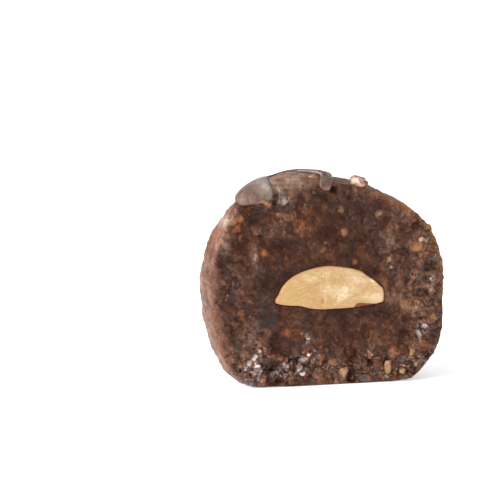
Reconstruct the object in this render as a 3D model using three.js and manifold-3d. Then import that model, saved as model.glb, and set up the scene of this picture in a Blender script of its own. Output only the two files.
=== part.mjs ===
// A chocolate truffle cut through with a knife: more than half of a hand-rolled ball of dark paste,
// drizzled with chocolate, with the split almond kernel in its middle showing in the cut.
// Millimetres, +Z up. The truffle stands on z = 0 on its pressed-flat bottom, the cut looks along -Y.
import * as THREE from "three";
import { ImprovedNoise } from "three/addons/math/ImprovedNoise.js";
import { mergeVertices } from "three/addons/utils/BufferGeometryUtils.js";
import Module from "manifold-3d";

// ---------------------------------------------------------------- driving dimensions

const BALL_WIDTH = 30.2;
const BALL_HEIGHT = 25.8;
const KEPT_DEPTH = 17.4; // from the cut to the back of the ball
const CUT_FORWARD = 3.0; // how far the cut lies in front of the ball's middle
const ORIGIN_BEHIND_CUT = 9.05; // half the depth of the whole, strands and all
const WAIST_HEIGHT = 11.8; // the widest level, above the table
const SQUASH = 1.5; // how far the round bottom would reach below the table
const CORNER_SOFTNESS = 1.1; // rounding where the flat bottom turns up

// The flat spot that the truffle rests on stands a little out of its underside. Corners: right, back.
const REST_SPOT = { height: 0.08, corners: [[-7.4, 0.7], [7.4, 0.7], [5, 10.8], [-5, 10.8]] };

// The ball's profile is a superellipse, rounder above the waist and squarer below it.
const UPPER_EXPONENT = 1.98;
const LOWER_EXPONENT = 3.3;

// Where the hands left the ball fuller (+) or flatter (-): a direction, its spread and its rise.
const HAND_MARKS = [
  { towards: [0.45, -0.2, 0.87], spreadDeg: 20, rise: -0.5 },
  { towards: [0.86, 0.0, 0.51], spreadDeg: 15, rise: 0.65 },
  { towards: [-0.84, -0.22, 0.49], spreadDeg: 17, rise: 1.45 },
  { towards: [-0.87, 0.1, -0.49], spreadDeg: 12, rise: -0.75 },
  { towards: [-0.98, 0.2, -0.05], spreadDeg: 30, rise: 0.45 },
  { towards: [-0.6, -0.12, 0.79], spreadDeg: 12, rise: 1.3 },
  { towards: [-0.31, -0.05, 0.95], spreadDeg: 9, rise: 0.95 },
  { towards: [0.9, 0.0, -0.43], spreadDeg: 11, rise: 0.35 },
  { towards: [0.8, 0.0, -0.6], spreadDeg: 9, rise: -0.5 },
  { towards: [0.2, 0.9, 0.4], spreadDeg: 24, rise: 0.4 },
  { towards: [-0.5, 0.8, -0.1], spreadDeg: 20, rise: -0.4 },
];
const SKIN_WAVE = { depth: 0.22, length: 5.5 };

// The cut: long waves from the knife, crags where the paste tore, and a crumbled edge all round.
const KNIFE_WAVE = { depth: 0.4, length: 8.5 };
const CRAG = { depth: 0.5, length: 2.2 }; // full depth at the edge, half of it in the middle
const KNIFE_DENTS = [
  { x: -11.0, z: 17.1, halfWidth: 0.8, halfHeight: 2.2, depth: 0.45, leanDeg: 10 },
  { x: -7.25, z: 3.6, halfWidth: 0.9, halfHeight: 3.2, depth: 0.8, leanDeg: 4 },
];

// The radius of the edge between the cut and the outside, and where the rolled skin curls over
// further: the place round the cut (from the right, over the top), its spread and the extra radius.
const EDGE_ROUNDING = 0.4;
const EDGE_CURLS = [
  { atDeg: 128, spreadDeg: 20, extra: 2.0 },
  { atDeg: 104, spreadDeg: 14, extra: 1.3 },
  { atDeg: 35, spreadDeg: 30, extra: 0.45 },
  { atDeg: 200, spreadDeg: 32, extra: 1.4 },
];

// The split almond kernel lies flat side down. Its outline in the cut runs through these places:
// right of the middle, and above the table.
const KERNEL = {
  outline: [
    [6.9, 10.3], [6.85, 11.7], [5.75, 12.75], [4.65, 13.5], [3.8, 14.1], [2.6, 14.5], [0.9, 14.8],
    [-0.6, 14.95], [-2.1, 14.8], [-3.6, 14.45], [-4.8, 14.0], [-5.9, 13.3], [-6.7, 12.4],
    [-7.1, 11.6], [-7.5, 11.0], [-7.3, 10.5], [-5.8, 10.2], [-4.2, 10.05], [-2.9, 9.7],
    [-1.4, 9.52], [0.6, 9.52], [2.6, 9.58], [4.4, 9.75], [6.1, 9.98],
  ],
  middle: new THREE.Vector3(-0.3, 0, 11.6),
  halfWidth: 7.2,
  halfHeight: 2.7,
  depth: 9.5,
  exponent: 2.15,
};
const KERNEL_EDGE = 0.1;
const KERNEL_GAP = 0.25; // between the kernel and the paste round it

// Chocolate strands. Each passes over the ball in the directions listed, seen from the ball's
// middle: right, back and up. What comes over the edge of the cut bends down over it. Where the
// knife passed, a strand is as narrow and low as atCut says.
const STRANDS = [
  {
    // the broad band on the left shoulder
    width: 4.8,
    height: 2.0,
    atCut: { width: 4.6, height: 1.2 },
    over: [
      [-10.8, -3.5, 12.2], [-10.2, -1.5, 12.8], [-9.4, 1.5, 13], [-8.8, 5.4, 11.8], [-8.6, 9.6, 7],
      [-7.6, 12.4, 0], [-6.4, 11.8, -6], [-6, 11, -9.6],
    ],
  },
  {
    // from its end, dragged down over the top edge of the cut, back and down the right side
    width: 3.6,
    height: 1.8,
    atCut: { width: 1.6, height: 0.8 },
    over: [
      [-1.4, -3.9, 13.4], [0, 0, 14], [1.5, 4, 13.3], [5.4, 8.2, 10.6],
      [8.6, 11, 4], [8.8, 12, -2], [7.2, 11, -9.4],
    ],
  },
  {
    // the thin one that joins those two behind the top edge
    width: 1.2,
    height: 0.8,
    over: [[-7.5, 1.4, 12.6], [-5.6, 1.8, 13.4], [-3.2, 1.2, 14.2], [-1.6, -0.5, 14], [-0.6, -2.1, 14]],
  },
  {
    // across the back, down to the table
    width: 3.4,
    height: 1.7,
    over: [
      [4.6, 8.4, 11], [0.4, 10.6, 9.2], [-2.6, 12.8, 5],
      [-1.4, 14, -1], [0.6, 12.8, -6], [2, 11, -9.6],
    ],
  },
  {
    // down the right side, ending in a bead
    width: 3.0,
    height: 1.6,
    over: [[5.6, 8.4, 10.4], [10, 6.4, 8.4], [13, 4.4, 3.6], [13.8, 4.6, -2], [12.4, 6.4, -6]],
  },
];
const STRAND_SINK = 0.3; // share of a strand's height that is pressed into the ball
const CUT_ZONE = [8, 13]; // how far behind the cut atCut starts to fade, and ends
const SMEARED = 0.6; // share of a strand's height that the knife took at its end
const SMEAR_ZONE = [-2, 1.5]; // how far in front of the cut's plane that starts and is complete
const NUT_CHIP = { radius: 0.95, at: [3.65, 0.7, 25.3] };

const FACE_STEPS = 38; // squares across the cut, and across the back
const SEAM = 0.04; // radians between the last rings of points in front and behind
const KERNEL_STEPS = 19;
const KERNEL_RING_POINTS = 240;
const STRAND_SIDES = 10;
const STRAND_STEP = 1.4;

// ---------------------------------------------------------------- helpers

const HALF_WIDTH = BALL_WIDTH / 2;
const HALF_DEPTH = KEPT_DEPTH - CUT_FORWARD;
const TOP_REACH = BALL_HEIGHT - WAIST_HEIGHT;
const BOTTOM_REACH = WAIST_HEIGHT + SQUASH;
const BALL_MIDDLE = new THREE.Vector3(0, CUT_FORWARD, WAIST_HEIGHT);
const CUT_MIDDLE = new THREE.Vector3(0, 0, WAIST_HEIGHT);
const FAR = 40; // further than any point of the ball from another
const HALVINGS = 30;
const KNIFE_WAVE_ROW = 3.3; // where in the noise each relief of the cut is taken from
const CRAG_ROW = 8.8;

const perlin = new ImprovedNoise();
const wave = ({ depth, length }, x, y, z) =>
  depth * perlin.noise(x / length, y / length, z / length);

/** The smaller of two lengths, with a soft corner where they are nearly equal. */
function softMin(a, b, softness) {
  const overlap = Math.max(0, softness - Math.abs(a - b));
  return Math.min(a, b) - (overlap * overlap) / (4 * softness);
}

/** 1 on a mark's own direction, falling off smoothly with the angle from it. */
function fallOff(angleDeg, spreadDeg) {
  return Math.exp(-0.5 * (angleDeg / spreadDeg) ** 2);
}

function superellipse(sideways, upwards, exponent) {
  return (sideways ** exponent + upwards ** exponent) ** (-1 / exponent);
}

// ---------------------------------------------------------------- the ball's skin

/** How far the skin is from the ball's middle in a direction (a unit vector), table left out. */
function skinRadius(direction) {
  const lower = THREE.MathUtils.smoothstep(-direction.z, -0.25, 0.35);
  const exponent = THREE.MathUtils.lerp(UPPER_EXPONENT, LOWER_EXPONENT, lower);
  const sideways = Math.hypot(direction.x / HALF_WIDTH, direction.y / HALF_DEPTH);
  const upwards = Math.abs(direction.z) / (direction.z > 0 ? TOP_REACH : BOTTOM_REACH);
  let radius = superellipse(sideways, upwards, exponent);
  for (const mark of HAND_MARKS) {
    const towards = new THREE.Vector3(...mark.towards);
    const angle = THREE.MathUtils.radToDeg(direction.angleTo(towards));
    radius += mark.rise * fallOff(angle, mark.spreadDeg);
  }
  const far = direction.clone().multiplyScalar(HALF_WIDTH);
  return radius + wave(SKIN_WAVE, far.x, far.y, far.z);
}

/** How far a ray from inside the ball runs to the skin or the underside, whichever is first. */
function reach(from, direction) {
  let inside = 0;
  let outside = FAR;
  for (let i = 0; i < HALVINGS; i++) {
    const middle = (inside + outside) / 2;
    const offset = from.clone().addScaledVector(direction, middle).sub(BALL_MIDDLE);
    const length = offset.length();
    if (length < 1e-6 || length < skinRadius(offset.divideScalar(length))) inside = middle;
    else outside = middle;
  }
  const toUnderside = direction.z < 0 ? (from.z - REST_SPOT.height) / -direction.z : FAR;
  return softMin(inside, toUnderside, CORNER_SOFTNESS);
}

/** Radius of the edge between the cut and the outside, at an angle round the cut. */
function edgeRounding(angle) {
  const degrees = THREE.MathUtils.euclideanModulo(THREE.MathUtils.radToDeg(angle), 360);
  return EDGE_CURLS.reduce(
    (radius, { atDeg, spreadDeg, extra }) =>
      radius + extra * Math.exp(-(((degrees - atDeg) / spreadDeg) ** 2)),
    EDGE_ROUNDING,
  );
}

/** The point of the ball's surface in a direction from the ball's middle. */
function onSkin(direction) {
  const unit = direction.clone().normalize();
  return BALL_MIDDLE.clone().addScaledVector(unit, reach(BALL_MIDDLE, unit));
}

// ---------------------------------------------------------------- pieces with a cut face

/** Spreads a square (each side from -1 to 1) evenly over a disc: distance from 0 to 1, and angle. */
function squareToDisc(u, v) {
  if (u === 0 && v === 0) return { distance: 0, angle: 0 };
  if (Math.abs(u) >= Math.abs(v))
    return { distance: Math.abs(u), angle: (Math.PI / 4) * (v / u) + (u < 0 ? Math.PI : 0) };
  return { distance: Math.abs(v), angle: (Math.PI / 4) * (2 - u / v) + (v < 0 ? Math.PI : 0) };
}

/**
 * BoxGeometry splits a square with corners a, b, c, d along b-d. Where that line would run round the
 * middle of the disc it leaves a sliver, so the square is split along a-c instead.
 */
function splitOutwards(geometry) {
  const position = geometry.getAttribute("position");
  const corners = geometry.index.array;
  const farOut = (i) => Math.max(Math.abs(position.getX(i)), Math.abs(position.getZ(i)));
  for (let i = 0; i < corners.length; i += 6) {
    const [a, b, d] = corners.slice(i, i + 3);
    const c = corners[i + 4];
    if (Math.abs(farOut(b) - farOut(d)) < 1e-6) corners.set([a, b, c, a, c, d], i);
  }
}

/** A way along the flat cut to the rim, then round the edge: how far out it ends, and how far back. */
function overTheEdge(way, rim, edge) {
  const turn = THREE.MathUtils.clamp((way - (rim - edge)) / edge, 0, Math.PI / 2);
  return { out: Math.min(way, rim - edge) + edge * Math.sin(turn), back: edge * (1 - Math.cos(turn)) };
}

/**
 * A piece with a flat cut towards -Y, made from a box: the box's front becomes the cut with its
 * rounded edge, its back the round outside, and its narrow sides the seam between them.
 * proportions says how wide, deep and high the piece is, so that the squares come out even.
 */
function cutPiece({ steps, middle, proportions, reachOf, edgeAt, reliefAt }) {
  const box = new THREE.BoxGeometry(2, 2, 2, steps, 1, steps);
  box.deleteAttribute("normal");
  box.deleteAttribute("uv");
  const geometry = mergeVertices(box);
  splitOutwards(geometry);
  const position = geometry.getAttribute("position");
  const point = new THREE.Vector3();
  const edgeStart = new THREE.Vector3();
  for (let i = 0; i < position.count; i++) {
    const { distance, angle } = squareToDisc(position.getX(i), position.getZ(i));
    const across = new THREE.Vector3(
      proportions.x * Math.cos(angle), 0, proportions.z * Math.sin(angle),
    );
    const edge = edgeAt(Math.atan2(across.z, across.x));
    edgeStart.set(middle.x, middle.y + edge, middle.z);
    if (position.getY(i) < 0) {
      across.normalize();
      const rim = reachOf(edgeStart, across);
      const { out, back } = overTheEdge(distance * (rim - edge + edge * Math.PI / 2), rim, edge);
      point.copy(middle).addScaledVector(across, out);
      point.y += back + reliefAt(point, distance);
    } else {
      const swing = distance * (Math.PI / 2 - SEAM);
      across.multiplyScalar(Math.sin(swing));
      across.y = proportions.y * Math.cos(swing);
      across.normalize();
      point.copy(edgeStart).addScaledVector(across, reachOf(edgeStart, across));
    }
    position.setXYZ(i, point.x, point.y, point.z);
  }
  return geometry;
}

/** How deep the dents that the knife's point left in the cut are at a place. */
function knifeDents(x, z) {
  let depth = 0;
  for (const dent of KNIFE_DENTS) {
    const lean = THREE.MathUtils.degToRad(dent.leanDeg);
    const right = x - dent.x;
    const up = z - dent.z;
    const across = (right * Math.cos(lean) - up * Math.sin(lean)) / dent.halfWidth;
    const along = (right * Math.sin(lean) + up * Math.cos(lean)) / dent.halfHeight;
    depth += dent.depth * Math.exp(-across * across - along * along);
  }
  return depth;
}

/** The paste: the cut ball on its flat bottom, without kernel or chocolate. */
function pasteGeometry() {
  return cutPiece({
    steps: FACE_STEPS,
    middle: CUT_MIDDLE,
    proportions: new THREE.Vector3(HALF_WIDTH, KEPT_DEPTH, HALF_WIDTH),
    reachOf: reach,
    edgeAt: edgeRounding,
    reliefAt: ({ x, z }, distance) =>
      wave(KNIFE_WAVE, x, KNIFE_WAVE_ROW, z)
      + wave(CRAG, x, CRAG_ROW, z) * (1 + distance) / 2
      + knifeDents(x, z),
  });
}

/** The kernel's outline as places in order round its middle: angle and distance. */
function kernelRing() {
  const corners = KERNEL.outline.map(([right, up]) => new THREE.Vector3(right, 0, up).sub(KERNEL.middle));
  return new THREE.CatmullRomCurve3(corners, true)
    .getPoints(KERNEL_RING_POINTS)
    .map(({ x, z }) => ({ angle: Math.atan2(z, x), distance: Math.hypot(x, z) }))
    .sort((a, b) => a.angle - b.angle);
}

const KERNEL_RING = kernelRing();

/** How far the kernel's outline is from its middle, at an angle round it. */
function kernelOutline(angle) {
  const after = Math.max(0, KERNEL_RING.findIndex((place) => place.angle >= angle));
  const before = (after || KERNEL_RING.length) - 1;
  const span = KERNEL_RING[after].angle - KERNEL_RING[before].angle;
  const share = span > 0 ? (angle - KERNEL_RING[before].angle) / span : 0;
  return THREE.MathUtils.lerp(KERNEL_RING[before].distance, KERNEL_RING[after].distance, share);
}

/** The kernel grown by an amount on all sides, with its cut at a given place along Y. */
function kernelGeometry(grownBy, cutAt) {
  const { middle, halfWidth, halfHeight, depth, exponent } = KERNEL;
  return cutPiece({
    steps: KERNEL_STEPS,
    middle,
    proportions: new THREE.Vector3(halfWidth, depth, halfHeight),
    reachOf: (from, direction) => {
      const sideways = Math.hypot(direction.x, direction.z);
      const outline = kernelOutline(Math.atan2(direction.z, direction.x)) + grownBy;
      return superellipse(sideways / outline, direction.y / (depth + grownBy), exponent);
    },
    edgeAt: () => KERNEL_EDGE,
    reliefAt: (point, distance) => cutAt * (1 - distance * distance * distance),
  });
}

// ---------------------------------------------------------------- chocolate strands

/**
 * A place on the skin and the direction away from it. What lies in front of the edge of the cut is
 * bent round that edge and on down over the cut.
 */
function folded(place) {
  const angle = Math.atan2(place.z - WAIST_HEIGHT, place.x);
  const edge = edgeRounding(angle);
  const past = edge - place.y;
  if (past <= 0) return { place, outward: place.clone().sub(BALL_MIDDLE).normalize() };
  const across = new THREE.Vector3(Math.cos(angle), 0, Math.sin(angle));
  const edgeStart = new THREE.Vector3(0, edge, WAIST_HEIGHT);
  const rim = reach(edgeStart, across);
  const turn = Math.min(past / edge, Math.PI / 2);
  const { out, back } = overTheEdge(rim - edge + edge * Math.PI / 2 - past, rim, edge);
  const bent = CUT_MIDDLE.clone().addScaledVector(across, out);
  bent.y = back;
  const outward = across.multiplyScalar(Math.cos(turn));
  outward.y = -Math.sin(turn);
  return { place: bent, outward };
}

/** How much wider a blunt end is than a round one, at a share of the way into it. */
function blunter(share) {
  return share < 0.99 ? (1 - share ** 4) ** 0.25 / Math.sqrt(1 - share ** 2) : 1;
}

/** A strand with blunt ends, bent from a straight capsule along its route over the ball. */
function strandGeometry({ width, height, atCut = { width, height }, over }) {
  const rough = new THREE.CatmullRomCurve3(over.map((d) => onSkin(new THREE.Vector3(...d))));
  const route = new THREE.CatmullRomCurve3(
    rough.getSpacedPoints(over.length * 4).map((p) => onSkin(p.sub(BALL_MIDDLE))),
  );
  const radius = width / 2;
  const length = route.getLength() - width;
  const capsule = new THREE.CapsuleGeometry(
    radius, length, 3, STRAND_SIDES, Math.ceil(length / STRAND_STEP),
  );
  capsule.deleteAttribute("normal");
  capsule.deleteAttribute("uv");
  const geometry = mergeVertices(capsule);
  const position = geometry.getAttribute("position");
  const whole = length + width;
  for (let i = 0; i < position.count; i++) {
    const along = THREE.MathUtils.clamp((position.getY(i) + whole / 2) / whole, 0, 1);
    const centre = route.getPointAt(along);
    const share = THREE.MathUtils.smoothstep(centre.y, ...CUT_ZONE);
    const intoEnd = Math.max(0, 1 - Math.min(along, 1 - along) * whole / radius);
    const narrowed = THREE.MathUtils.lerp(atCut.width, width, share) / width * blunter(intoEnd);
    const smear = SMEARED * THREE.MathUtils.smoothstep(-centre.y, ...SMEAR_ZONE);
    const high = THREE.MathUtils.lerp(atCut.height, height, share) * (1 - smear);
    const radially = centre.clone().sub(BALL_MIDDLE).normalize();
    const sideways = new THREE.Vector3().crossVectors(radially, route.getTangentAt(along)).normalize();
    const offCentre = centre.addScaledVector(sideways, position.getZ(i) * narrowed).sub(BALL_MIDDLE);
    const lift = high * (0.5 - STRAND_SINK) + (position.getX(i) / radius) * (high / 2);
    const { place, outward } = folded(onSkin(offCentre));
    place.addScaledVector(outward, lift);
    position.setXYZ(i, place.x, place.y, place.z);
  }
  return geometry;
}

function nutChipGeometry() {
  return new THREE.DodecahedronGeometry(NUT_CHIP.radius, 0)
    .scale(1, 0.8, 0.75)
    .rotateY(0.4)
    .translate(...NUT_CHIP.at);
}

// ---------------------------------------------------------------- joining and cutting

const wasm = await Module();
wasm.setup();

function solidOf(geometry) {
  geometry.deleteAttribute("normal");
  geometry.deleteAttribute("uv");
  const merged = mergeVertices(geometry);
  return new wasm.Manifold(new wasm.Mesh({
    numProp: 3,
    vertProperties: merged.getAttribute("position").array,
    triVerts: new Uint32Array(merged.index.array),
  }));
}

function geometryOf(solid) {
  const mesh = solid.getMesh();
  const geometry = new THREE.BufferGeometry();
  geometry.setAttribute("position", new THREE.BufferAttribute(mesh.vertProperties, 3));
  geometry.setIndex(new THREE.BufferAttribute(mesh.triVerts, 1));
  return geometry;
}

/** The solid without the scraps that joining leaves where two surfaces just touch. */
function biggestBody(solid) {
  return solid.decompose().reduce((a, b) => (b.volume() > a.volume() ? b : a));
}

/** All that lies below the underside. */
function underTheBall() {
  return new THREE.BoxGeometry(FAR * 2, FAR * 2, FAR).translate(0, 0, REST_SPOT.height - FAR / 2);
}

/** The flat spot that touches the table, run up into the paste. */
function restSpotGeometry() {
  const outline = new THREE.Shape(REST_SPOT.corners.map(([right, back]) => new THREE.Vector2(right, back)));
  return new THREE.ExtrudeGeometry(outline, { depth: WAIST_HEIGHT / 4, bevelEnabled: false });
}

function truffleGeometry() {
  const strands = STRANDS.map((strand) => solidOf(strandGeometry(strand)))
    .reduce((all, strand) => all.add(strand))
    .subtract(solidOf(underTheBall()));
  const socket = solidOf(kernelGeometry(KERNEL_GAP, -2));
  const joined = solidOf(pasteGeometry())
    .add(strands)
    .add(solidOf(nutChipGeometry()))
    .add(solidOf(restSpotGeometry()))
    .subtract(socket);
  return geometryOf(biggestBody(joined));
}

// ---------------------------------------------------------------- the part

const pasteMaterial = new THREE.MeshStandardMaterial({ color: 0x4f3328, roughness: 0.55, metalness: 0 });
const kernelMaterial = new THREE.MeshStandardMaterial({ color: 0xdcb680, roughness: 0.7, metalness: 0 });

const truffle = new THREE.Mesh(truffleGeometry(), pasteMaterial);
truffle.name = "truffle_paste";

const kernel = new THREE.Mesh(kernelGeometry(0, -0.15), kernelMaterial);
kernel.name = "almond_kernel";

const part = new THREE.Group();
part.add(truffle, kernel);
part.position.y = -ORIGIN_BEHIND_CUT; // the origin is on the table, under the middle of the whole

export default part;
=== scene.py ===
"""The looks of a chocolate truffle that is cut open: fine paste, drizzle, almond, crumbs, floor and light.

Lengths are millimetres until a mesh is made. The working frame has the table at z = 0 and the cut at y = 0,
with the rest of the truffle behind it. new_mesh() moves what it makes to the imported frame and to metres.
"""

import math

import bmesh
import bpy
import numpy as np
from mathutils import Matrix, Vector, noise


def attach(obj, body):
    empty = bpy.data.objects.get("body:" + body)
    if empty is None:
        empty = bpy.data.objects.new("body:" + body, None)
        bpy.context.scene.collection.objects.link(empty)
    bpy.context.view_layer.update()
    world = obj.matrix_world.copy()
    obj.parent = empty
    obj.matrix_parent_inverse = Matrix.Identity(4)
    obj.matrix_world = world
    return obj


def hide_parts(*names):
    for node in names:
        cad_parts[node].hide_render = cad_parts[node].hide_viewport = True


MM = 0.001

# ---- the truffle's form, as in its solids

BALL_WIDTH = 30.2
BALL_HEIGHT = 25.8
KEPT_DEPTH = 17.4  # from the cut to the back of the ball
CUT_FORWARD = 3.0  # how far the cut lies in front of the ball's middle
ORIGIN_BEHIND_CUT = 9.05  # half the depth of the whole, strands and all
WAIST_HEIGHT = 11.8
SQUASH = 1.5  # how far the round bottom would reach below the table
CORNER_SOFTNESS = 1.1
UPPER_EXPONENT = 1.98
LOWER_EXPONENT = 3.3
EXPONENT_ZONE = (-0.25, 0.35)  # how far down a direction points where one gives way to the other

# Where the hands left the ball fuller (+) or flatter (-): a direction, its spread in degrees and its rise.
HAND_MARKS = [
    ((0.45, -0.2, 0.87), 20, -0.5),
    ((0.86, 0, 0.51), 15, 0.65),
    ((-0.84, -0.22, 0.49), 17, 1.45),
    ((-0.87, 0.1, -0.49), 12, -0.75),
    ((-0.98, 0.2, -0.05), 30, 0.45),
    ((-0.6, -0.12, 0.79), 12, 1.3),
    ((-0.31, -0.05, 0.95), 9, 0.95),
    ((0.9, 0, -0.43), 11, 0.35),
    ((0.8, 0, -0.6), 9, -0.5),
    ((0.2, 0.9, 0.4), 24, 0.4),
    ((-0.5, 0.8, -0.1), 20, -0.4),
]

# The radius of the cut's edge, and where it is larger, as the skin curls over there: at which angle from the
# right, over how many degrees and by how much.
EDGE_ROUNDING = 0.4
ROUNDER_EDGES = [(128, 20, 2.0), (104, 14, 1.3), (35, 30, 0.45), (200, 32, 1.4)]

# Where the rolled skin reaches farther over that edge (+) or is torn past it (-), likewise.
SKIN_REACHES = [(112, 17, 1.3), (-133, 16, -1.3), (38, 28, -1.3)]

LEFT_SIDE = (178, 30)  # where the skin fades softly into the cut: angle and spread
RIGHT_RIM = (35, 30)  # where the edge is painted paler and redder as a rim light, likewise

# The split almond's outline in the cut: right of the middle, and above the table.
KERNEL_OUTLINE = [
    (6.9, 10.3), (6.85, 11.7), (5.75, 12.75), (4.65, 13.5), (3.8, 14.1), (2.6, 14.5), (0.9, 14.8),
    (-0.6, 14.95), (-2.1, 14.8), (-3.6, 14.45), (-4.8, 14), (-5.9, 13.3), (-6.7, 12.4), (-7.1, 11.6),
    (-7.5, 11), (-7.3, 10.5), (-5.8, 10.2), (-4.2, 10.05), (-2.9, 9.7), (-1.4, 9.52), (0.6, 9.52),
    (2.6, 9.58), (4.4, 9.75), (6.1, 9.98),
]
KERNEL_RIGHT = -0.3
KERNEL_UP = 11.6
KERNEL_DEPTH = 9.5
KERNEL_EXPONENT = 2.15

# Each strand: its width and height, those where the knife passed, and the directions from the ball's middle
# in which it passes over the ball: right, back and up. What lies past the cut's edge bends down over it.
STRANDS = [
    (4.8, 2, 4.6, 1.2, [
        (-10.8, -3.5, 12.2), (-10.2, -1.5, 12.8), (-9.4, 1.5, 13), (-8.8, 5.4, 11.8), (-8.6, 9.6, 7),
        (-7.6, 12.4, 0), (-6.4, 11.8, -6), (-6, 11, -9.6),
    ]),
    (3.6, 1.8, 1.6, 0.8, [
        (-1.4, -3.9, 13.4), (0, 0, 14), (1.5, 4, 13.3), (5.4, 8.2, 10.6), (8.6, 11, 4), (8.8, 12, -2),
        (7.2, 11, -9.4),
    ]),
    (1.2, 0.8, 1.2, 0.8, [
        (-7.5, 1.4, 12.6), (-5.6, 1.8, 13.4), (-3.2, 1.2, 14.2), (-1.6, -0.5, 14), (-0.6, -2.1, 14),
    ]),
    (3.4, 1.7, 3.4, 1.7, [
        (4.6, 8.4, 11), (0.4, 10.6, 9.2), (-2.6, 12.8, 5), (-1.4, 14, -1), (0.6, 12.8, -6),
        (2, 11, -9.6),
    ]),
    (3, 1.6, 3, 1.6, [
        (5.6, 8.4, 10.4), (10, 6.4, 8.4), (13, 4.4, 3.6), (13.8, 4.6, -2), (12.4, 6.4, -6),
    ]),
]
CUT_ZONE = (8, 13)  # how far behind the cut the knife's narrowing starts to fade, and ends
STRAND_SINK = 0.3  # share of a strand's height that is pressed into the ball
SMEARED = 0.6  # share of a strand's height that the knife took at its end
SMEAR_ZONE = (-2.0, 1.5)  # how far in front of the cut's plane that starts and is complete
END_EXPONENT = 4  # how blunt a strand's ends are
BRIDGE_RISE = 0.55  # share of a crossed strand's height by which the upper one rises
BRIDGE_REACH = 1.6  # how far to the sides of the crossed strand that fades
PATTERN_GAP = 9.1  # how far apart in their patterns of lumps two strands are

# ---- what shows in the cut

# Lighter (+) and darker (-) places: right, up, half width, half height, amount, and lean in degrees if any.
TONE_MARKS = [
    (-8.2, 16.9, 2, 0.9, -0.35, 20), (-4.6, 18, 2.6, 1, -0.45, 18), (0.2, 18.9, 2.8, 0.9, -0.35, 4),
    (-10, 21.2, 3, 0.8, -0.55, 35), (-12.2, 13.8, 0.8, 1.1, -0.35, 12), (-10.5, 11, 2.6, 5, -0.15),
    (5.8, 14.6, 1, 1.5, -0.4), (4.5, 22.1, 1.2, 0.9, -0.35), (-6.4, 5.4, 1.9, 1.8, -0.55),
    (-8, 3, 1, 1.8, -0.45), (0.8, 6.7, 3.2, 1.4, -0.35), (-1, 8.7, 4.5, 0.6, -0.25),
    (6.9, 4.2, 1.2, 1.2, -0.3), (-10.3, 17.2, 0.7, 1.9, 0.45, -12), (-7.6, 20, 2.6, 0.9, 0.3, 45),
    (-4.2, 22.4, 2.2, 0.9, 0.35, 30), (8.6, 17.3, 2.2, 0.9, 0.45), (11.5, 17.2, 1.2, 1, 0.35),
    (13, 12.1, 0.9, 1.5, 0.4), (9.6, 9.7, 1.2, 1, 0.35), (11, 13.5, 4.5, 9, 0.3), (0, 2.2, 14, 3, 0.4),
    (0, 15, 9, 7, -0.12), (7, 20.5, 5, 3.5, 0.3), (-11, 2.4, 1.8, 1.3, 0.35), (-4.4, 2.2, 1.5, 1.2, 0.3),
    (1.6, 1.5, 1.2, 1.2, 0.3), (8.3, 1.3, 1.4, 1, 0.3), (8, 3.2, 3.8, 2.5, 0.3),
    (10.5, 4.1, 1, 1.2, 0.3),
]

# Where the knife left the cut smooth, as the tone marks.
SMOOTH_MARKS = [(-0.5, 17, 8.5, 4.5, 0.38), (2, 7, 7.5, 2.4, 0.3)]

# Painted sheen: pale places where light glances off the paste and the chocolate, painted into the colour, as
# the tone marks.
FILM_MARKS = [
    (-5, 25.6, 3.2, 1.2, 0.7, 12), (-6.3, 23.3, 1, 0.8, 0.4), (-13.6, 20.9, 0.9, 0.5, 1, 40),
    (-13.9, 17.8, 0.5, 1.2, 0.5), (-8.6, 25, 1.2, 1.5, 0.9), (-10.9, 25.6, 1.2, 0.6, 0.5, 45),
    (-10.2, 16.5, 0.4, 1.3, 0.25, -8),
]

# Where the knife smeared paste over the chocolate, as the tone marks.
WORN_MARKS = [
    (-12.3, 23.5, 1.6, 1.2, 1.1, 40), (-9.8, 23.3, 2.8, 0.8, 1.1), (-0.4, 24.6, 1.2, 1.6, 1.2),
]

# Pale, yellow and pink places on the almond, as the tone marks.
ALMOND_MARKS = {
    "pale": [
        (1.5, 11.5, 1.3, 0.9, 0.9, 25), (3.2, 13.2, 1.4, 0.6, 0.4, -25), (5.2, 10.9, 1.4, 0.5, 0.6),
        (-2.4, 13.6, 1.6, 0.5, 0.35, 15), (-0.9, 12, 0.8, 0.5, 0.4), (5.3, 12.8, 0.6, 0.25, 1, -38),
    ],
    "yellow": [(-4.6, 12.4, 2.2, 1.6, 0.9, 30)],
    "pink": [(6, 10.6, 0.9, 0.6, 0.6)],
}
FRONT_ZONE = (2.5, 4.5)  # how far behind the cut the painted sheen and the smears fade out

# Redder (+) and greyer (-) places: right, up, half width, amount.
WARM_MARKS = [
    (-11.6, 20.2, 1.8, 0.5), (-12.2, 18, 1.6, 0.4), (-8, 16.9, 1.6, 0.4), (-3.6, 20.3, 1.5, 0.35),
    (-12, 11.2, 2.2, 0.4), (-6.6, 7.1, 1.3, 0.4), (-6.6, 4.2, 1.6, 0.5), (-8.4, 2.2, 1.3, 0.4),
    (-3.4, 1.3, 1.3, 0.5), (7.3, 3.2, 1.6, 0.4), (12, 4.3, 1.3, 0.5), (11.6, 19, 1, 0.4),
    (12.9, 16.2, 1, 0.4), (7, 18.5, 3.2, -0.35), (3.4, 24.3, 3, -0.35), (11, 13, 2.4, -0.3),
    (8.5, 7.5, 3, -0.3), (-8.5, 19.5, 1.4, -0.3), (-10.8, 14.5, 1, -0.3), (-7.2, 7.8, 1.6, 0.4),
    (-12.8, 16, 1.8, 0.35), (-13.2, 11, 2, 0.3),
]
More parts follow.
